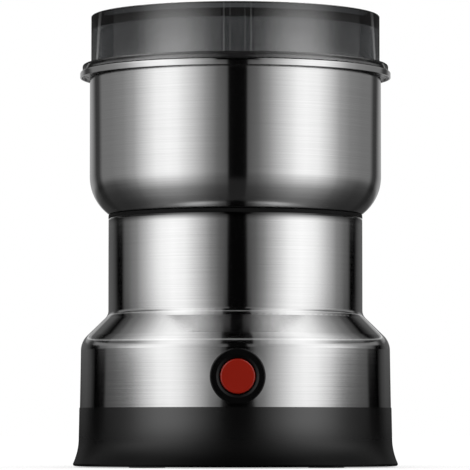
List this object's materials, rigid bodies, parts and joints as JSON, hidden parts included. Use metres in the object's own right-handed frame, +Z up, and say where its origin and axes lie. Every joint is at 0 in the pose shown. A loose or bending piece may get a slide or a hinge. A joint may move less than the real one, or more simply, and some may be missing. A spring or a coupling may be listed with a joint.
{
  "type": "electric spice grinder",
  "caption": "Countertop electric spice grinder: fixed stainless bowl with spinning blade, smoked clear lift-off lid, stepped steel housing, flared black base and front push button.",
  "frame": {"origin": "middle of the footprint, on the plane that the feet stand on", "axes": "+Z up along the bowl and motor axis; the button faces -Y and the cord inlet faces +Y; +X to the right seen from the button"},
  "size_m": [0.1102, 0.1102, 0.1533],
  "materials": {
    "smoked_clear": "polished smoked clear moulding",
    "brushed_stainless": "horizontally brushed",
    "polished_stainless": "ground and polished",
    "black_abs": "satin moulded",
    "black_frame": "moulded",
    "red_cap": "moulded, slightly domed edge",
    "white_plastic": "moulded",
    "yellow_box": "moulded box",
    "black_rubber": "soft moulded",
    "brass": "stamped",
    "bronze": "sintered",
    "copper": "enamelled wire and bars",
    "carbon": "pressed carbon",
    "zinc_steel": "zinc plated",
    "lamination_steel": "stacked sheet",
    "lead_insulation": "PVC"
  },
  "bodies": {
    "housing": {"base_skirt": "black_abs", "bottom_cover": "black_abs", "rubber_feet": "black_rubber", "bottom_cover_screws": "zinc_steel", "body_shell": "brushed_stainless", "bowl": "brushed_stainless", "bowl_bush": "brass", "bowl_bush_nut": "brass", "shaft_seal": "black_rubber", "motor_carrier": "black_frame", "carrier_screws": "zinc_steel", "upper_bracket": "zinc_steel", "lower_bracket": "zinc_steel", "upper_bearing": "bronze", "lower_bearing": "bronze", "stator_core": "lamination_steel", "field_coils": "copper", "motor_through_screws": "zinc_steel", "motor_screw_nuts": "zinc_steel", "motor_dampers": "black_rubber", "motor_mount_screws": "zinc_steel", "switch_collar": "black_abs", "switch_nut": "black_frame", "switch_housing": "black_frame", "switch_contacts": "brass", "button_spring": "zinc_steel", "brush_holder_right": "brass", "brush_holder_left": "brass", "brush_spring_right": "zinc_steel", "brush_spring_left": "zinc_steel", "cord_gland": "black_rubber", "cord_clamp": "black_frame", "cord_clamp_screws": "zinc_steel", "terminal_block": "black_frame", "terminal_inserts": "brass", "suppression_capacitor": "yellow_box", "thermal_cutout": "black_frame", "internal_leads": "lead_insulation"},
    "rotor": {"motor_shaft": "polished_stainless", "armature_core": "lamination_steel", "armature_windings": "copper", "commutator": "copper", "cooling_fan": "black_frame", "blade_spacer": "polished_stainless", "blade": "polished_stainless", "blade_washer": "polished_stainless", "blade_nut": "polished_stainless"},
    "lid": {"lid": "smoked_clear"},
    "button": {"button_cap": "red_cap", "button_plunger": "white_plastic", "contact_bridge": "brass"},
    "brush_right": {"carbon_brush_right": "carbon"},
    "brush_left": {"carbon_brush_left": "carbon"}
  },
  "joints": [
    {"name": "rotor_spin", "type": "hinge", "parent": "housing", "child": "rotor", "pos_m": [0, 0, 0.05], "axis": [0, 0, 1], "continuous": true},
    {"name": "lid_lift", "type": "slide", "parent": "housing", "child": "lid", "axis": [0, 0, 1], "range_m": [0, 0.05]},
    {"name": "button_press", "type": "slide", "parent": "housing", "child": "button", "axis": [0, 1, 0], "range_m": [0, 0.0025], "stiffness_N_per_m": 600, "springref_m": -0.002, "deforming": ["button_spring"]},
    {"name": "brush_right_slide", "type": "slide", "parent": "housing", "child": "brush_right", "axis": [1, 0, 0], "range_m": [0, 0.0025], "stiffness_N_per_m": 150, "springref_m": -0.002, "deforming": ["brush_spring_right"]},
    {"name": "brush_left_slide", "type": "slide", "parent": "housing", "child": "brush_left", "axis": [-1, 0, 0], "range_m": [0, 0.0025], "stiffness_N_per_m": 150, "springref_m": -0.002, "deforming": ["brush_spring_left"]}
  ]
}
